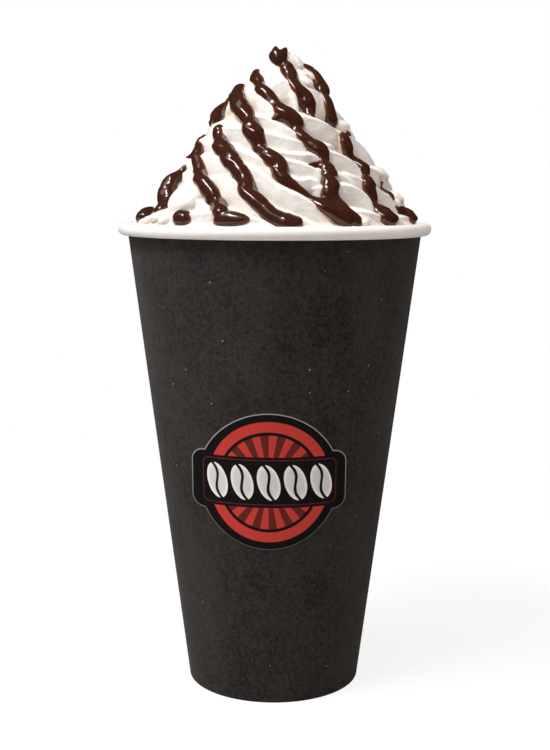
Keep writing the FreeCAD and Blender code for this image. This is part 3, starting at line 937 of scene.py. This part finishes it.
def make_sauce(name, ropes):
    """All the ropes as one piece that rides on the cream."""
    bm = bmesh.new()
    for seed, places in enumerate(ropes):
        bm.from_mesh(rope_tube(places, seed))
    bm = melted(bm, SAUCE_VOXEL)
    points = np.array([v.co[:] for v in bm.verts])
    x = points[:, 0] - mound_axis(points[:, 2])
    azimuth = np.degrees(np.arctan2(points[:, 1], x)) % 360
    radius = np.hypot(x, points[:, 1])
    depth = radius - cream_radius(azimuth, np.minimum(points[:, 2], TIP_START))
    depth = np.where(points[:, 2] > TIP_START, FULL_DEPTH, depth)
    settle = np.where(depth > 0, (1 - SAUCE_SETTLE) * depth, 0) / np.maximum(radius, 1e-6)
    settle = np.where(points[:, 2] < TIP_START, settle, 0)
    points[:, 0] -= x * settle
    points[:, 1] -= points[:, 1] * settle
    for v, place in zip(bm.verts, points):
        v.co = place
    piece = finish_piece(name, bm, sauce_finish())
    keep_value(piece, "depth", np.clip(depth * SAUCE_SETTLE / FULL_DEPTH, 0, 1))
    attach(piece, "root")
    return piece


make_sauce("drizzle_front", ROPES)

# %% [markdown]
# ### The far side
# The far side is dressed like the front: the same ropes turned half round, as the folds under
# them are. The parts that would come round and cross the front ropes at the sides are left out.

# %% The same sauce on the far side
BACK_FIRST, BACK_LAST = 10, 170   # the azimuths that the far side keeps


def turned_to_back(places):
    """A rope moved to the far side, without what would come round to the front."""
    moved = [((azimuth + BACK_TURN) % 360, z + BACK_SHIFT, width) for azimuth, z, width in places]
    return [place for place in moved if BACK_FIRST < place[0] < BACK_LAST]


tip_ropes = 3             # the first ropes lie on the tip, which both sides share
back_ropes = [rope for rope in map(turned_to_back, ROPES[tip_ropes:]) if len(rope) > 2]
make_sauce("drizzle_back", back_ropes)

# %% [markdown]
# ## The papers
# The cup's white paper is coated inside and has a soft satin look, with a trace of fibre and some
# light let through its thickness.

# %% White paper
def white_paper_finish():
    f = Finish("white_paper")
    place = f.place()
    fibre = f.grain(place, 700.0, 3.0)
    tint = f.ramp(fibre, [(0.3, (0.935, 0.885, 0.855)), (0.7, (0.955, 0.915, 0.89))])
    return f.surface(Base_Color=tint, Roughness=0.42, Normal=f.bump(fibre, 0.0002, 0.25),
                     Subsurface_Weight=0.5, Subsurface_Radius=(1.0, 1.0, 1.0),
                     Subsurface_Scale=0.0005)

# %% [markdown]
# The wrap is uncoated black paper, dyed unevenly. Close up it is a felt of short curled fibres,
# a little greyer than the dye, with faint clouds and here and there a pale speck of dust. The
# curls are the thin lines where a twisted noise passes its middle value. A weak sheen stands for
# the fuzz that catches light at the cup's edges.

# %% Black paper
DARK_DYE = (0.0105, 0.0088, 0.0080)
GREY_FIBRE = (0.0380, 0.0316, 0.0291)
SPECK = (0.45, 0.43, 0.40)


def black_paper_finish():
    f = Finish("black_paper")
    place = f.place()
    cloud = f.grain(f.stretched(place, (1.0, 1.0, 0.5)), 80.0, 3.0, 0.5)
    felt = f.grain(place, 800.0, 4.0, 0.7)
    curl = f.add("TexNoise", Vector=place, Scale=560.0, Detail=1.0, Distortion=1.6).outputs["Fac"]
    off_middle = f.math("ABSOLUTE", f.math("SUBTRACT", curl, 0.5))
    strand = f.ramp(off_middle, [(0.0, 1.0), (0.045, 0.0)])
    mottle = f.math("ADD", f.math("MULTIPLY", cloud, 0.30),
                    f.math("ADD", f.math("MULTIPLY", felt, 0.70), f.math("MULTIPLY", strand, 0.11)))
    paper = f.ramp(mottle, [(0.38, DARK_DYE), (0.62, GREY_FIBRE)])
    spots = f.add("TexVoronoi", Vector=place, Scale=300.0, Randomness=1.0)
    small = f.math("LESS_THAN", spots.outputs["Distance"], 0.055)
    chance = f.add("SeparateColor", Color=spots.outputs["Color"]).outputs[0]
    some = f.math("GREATER_THAN", chance, 0.60)
    tint = f.blend(f.math("MULTIPLY", small, some), paper, SPECK)
    return f.surface(Base_Color=tint, Roughness=0.55, Normal=f.bump(mottle, 0.0003, 0.5),
                     Specular_IOR_Level=0.7, Sheen_Weight=0.07, Sheen_Roughness=0.5)

# %% [markdown]
# ## The sticker
# The sticker is black vinyl printed in red, dark red and white: a ring round a disc of rays, with
# a black band across them that holds five coffee beans. It could be painted as an image, but it
# is sharper and needs no file if every shape is a distance compared with a limit. `u` is the
# distance round the wall from the sticker's middle and `v` the height, both in mm, so the print
# wraps round the cup as a real sticker does. The pale cut edge follows the film's own outline,
# which was cut straight from the front. It is partly the film's own pale edge and partly a painted
# highlight: brighter towards the top, where lamps above would catch it, and dimmer towards the bottom.

# %% The sticker's sizes
label_low, label_high = (np.array(corner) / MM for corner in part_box("label"))
label_middle = (label_low + label_high) / 2
print("label middle and size in mm:", label_middle.round(2), (label_high - label_low).round(2))
BLACK_VINYL = (0.0085, 0.0085, 0.0092)
RED_INK = (0.60, 0.040, 0.029)
DARK_RED_INK = (0.14, 0.017, 0.014)
LABEL_FIELD = 13.4        # radius of the rays, mm
LABEL_RING = 17.2         # outer radius of the red ring
LABEL_RAYS = 18
BAND_HALF_WIDE = 19.9
BAND_HALF_HIGH = 7.2
BEAN_STEP = 7.3
BEAN_HALF_WIDE = 3.0
BEAN_HALF_HIGH = 5.2
BEAN_LEAN = math.radians(-16)
SLIT_BEND = 0.75
SLIT_HALF_WIDE = 0.42
BEAN_SHADE, BEAN_LIGHT = (0.72, 0.705, 0.71), (0.90, 0.885, 0.89)
PALE_CUT_EDGE_AND_HIGHLIGHT = (0.34, 0.33, 0.32)
CUT_EDGE_WIDE = 0.28
FILM_HALF_WIDE, FILM_HALF_HIGH, FILM_CORNER = 21.25, 8.5, 3.4
FILM_RADIUS = 19.5

# %% The sticker's print
def label_finish():
    """A black printed sticker: a red disc of rays behind a black band with five white beans."""
    f = Finish("label_print")
    x, y, z = f.add("SeparateXYZ", Vector=f.place()).outputs
    wall = f.math("MULTIPLY_ADD", z, wall_taper)
    wall.node.inputs[2].default_value = foot_radius * MM
    turn = f.math("ARCTAN2", x, f.math("MULTIPLY", y, -1.0))
    u = f.math("SUBTRACT", f.math("DIVIDE", f.math("MULTIPLY", turn, wall), MM), label_middle[0])
    straight = f.math("SUBTRACT", f.math("DIVIDE", x, MM), label_middle[0])
    v = f.math("SUBTRACT", f.math("DIVIDE", z, MM), label_middle[2])

    def distance(a, b):
        return f.math("SQRT", f.math("ADD", f.math("MULTIPLY", a, a), f.math("MULTIPLY", b, b)))

    def band_edge(side, half_wide, half_high, corner):
        """Distance outside a band with round corners, negative inside it."""
        side = f.math("MAXIMUM", f.math("SUBTRACT", f.math("ABSOLUTE", side), half_wide - corner), 0.0)
        rise = f.math("MAXIMUM", f.math("SUBTRACT", f.math("ABSOLUTE", v), half_high - corner), 0.0)
        return f.math("SUBTRACT", distance(side, rise), corner)

    def within(value, low, high):
        return f.math("MULTIPLY", f.math("GREATER_THAN", value, low), f.math("LESS_THAN", value, high))

    away = distance(u, v)
    sector = f.math("FRACT", f.math("MULTIPLY", f.math("ARCTAN2", v, u), LABEL_RAYS / (2 * math.pi)))
    rays = f.blend(f.math("GREATER_THAN", sector, 0.5), RED_INK, DARK_RED_INK)
    tint = f.blend(f.math("LESS_THAN", away, LABEL_FIELD), BLACK_VINYL, rays)
    tint = f.blend(within(away, LABEL_FIELD + 0.9, LABEL_RING), tint, RED_INK)
    band = band_edge(u, BAND_HALF_WIDE, BAND_HALF_HIGH, 2.6)
    tint = f.blend(f.math("LESS_THAN", band, 0.0), tint, BLACK_VINYL)
    tint = f.blend(within(band, -1.0, -0.72), tint, DARK_RED_INK)

    nearest = f.math("ROUND", f.math("DIVIDE", u, BEAN_STEP))
    place = f.math("MINIMUM", f.math("MAXIMUM", nearest, -2.0), 2.0)
    across = f.math("SUBTRACT", u, f.math("MULTIPLY", place, BEAN_STEP))
    lean_cos, lean_sin = math.cos(BEAN_LEAN), math.sin(BEAN_LEAN)
    a = f.math("SUBTRACT", f.math("MULTIPLY", across, lean_cos), f.math("MULTIPLY", v, lean_sin))
    b = f.math("ADD", f.math("MULTIPLY", across, lean_sin), f.math("MULTIPLY", v, lean_cos))
    a_share, b_share = f.math("DIVIDE", a, BEAN_HALF_WIDE), f.math("DIVIDE", b, BEAN_HALF_HIGH)
    bean = f.math("ADD", f.math("MULTIPLY", a_share, a_share), f.math("MULTIPLY", b_share, b_share))
    bean_tint = f.ramp(bean, [(0.45, BEAN_SHADE), (0.85, BEAN_LIGHT)])
    tint = f.blend(f.math("LESS_THAN", bean, 1.0), tint, bean_tint)
    bend = f.math("MULTIPLY", f.math("SINE", f.math("MULTIPLY", b_share, math.pi)), SLIT_BEND)
    slit = f.math("LESS_THAN", f.math("ABSOLUTE", f.math("SUBTRACT", a, bend)), SLIT_HALF_WIDE)
    tint = f.blend(f.math("MULTIPLY", slit, f.math("LESS_THAN", bean, 1.0)), tint, BLACK_VINYL)

    outline = f.math("MINIMUM", band_edge(straight, FILM_HALF_WIDE, FILM_HALF_HIGH, FILM_CORNER),
                     f.math("SUBTRACT", distance(straight, v), FILM_RADIUS))
    # Painted highlight on the cut edge: brighter towards the top, dimmer towards the bottom.
    edge_highlight_from_above = f.add("MapRange", Value=v).outputs[0]
    for socket, value in (("From Min", -16.0), ("From Max", 12.0), ("To Min", 0.25), ("To Max", 1.0)):
        edge_highlight_from_above.node.inputs[socket].default_value = value
    cut = f.math("MULTIPLY", f.math("GREATER_THAN", outline, -CUT_EDGE_WIDE), edge_highlight_from_above)
    tint = f.blend(cut, tint, PALE_CUT_EDGE_AND_HIGHLIGHT)
    grain = f.grain(f.place(), 1500.0, 2.0)
    return f.surface(Base_Color=tint, Roughness=0.36, Normal=f.bump(grain, 0.0001, 0.15),
                     Specular_IOR_Level=0.4)

# %% [markdown]
# ## The drink
# The drink is hidden under the cream, but it is there: a milky chocolate brown with slow swirls.

# %% The drink
def drink_finish():
    f = Finish("mocha_drink")
    place = f.place()
    swirl = f.grain(place, 90.0, 3.0)
    tint = f.ramp(swirl, [(0.3, (0.10, 0.045, 0.02)), (0.7, (0.16, 0.08, 0.04))])
    return f.surface(Base_Color=tint, Roughness=0.12)

# %% [markdown]
# ## Dressing the solids
# The cup, its wrap, the disc in its foot, the sticker and the drink keep the shapes of their
# solids. They only get their finishes.

# %% Dress the solids
for name, finish in (("inner_cup", white_paper_finish()), ("base_disc", white_paper_finish()),
                     ("outer_wrap", black_paper_finish()), ("mocha", drink_finish()),
                     ("label", label_finish())):
    nodes[name].data.materials.clear()
    nodes[name].data.materials.append(finish)
    print(f"{name}: {finish.name}")
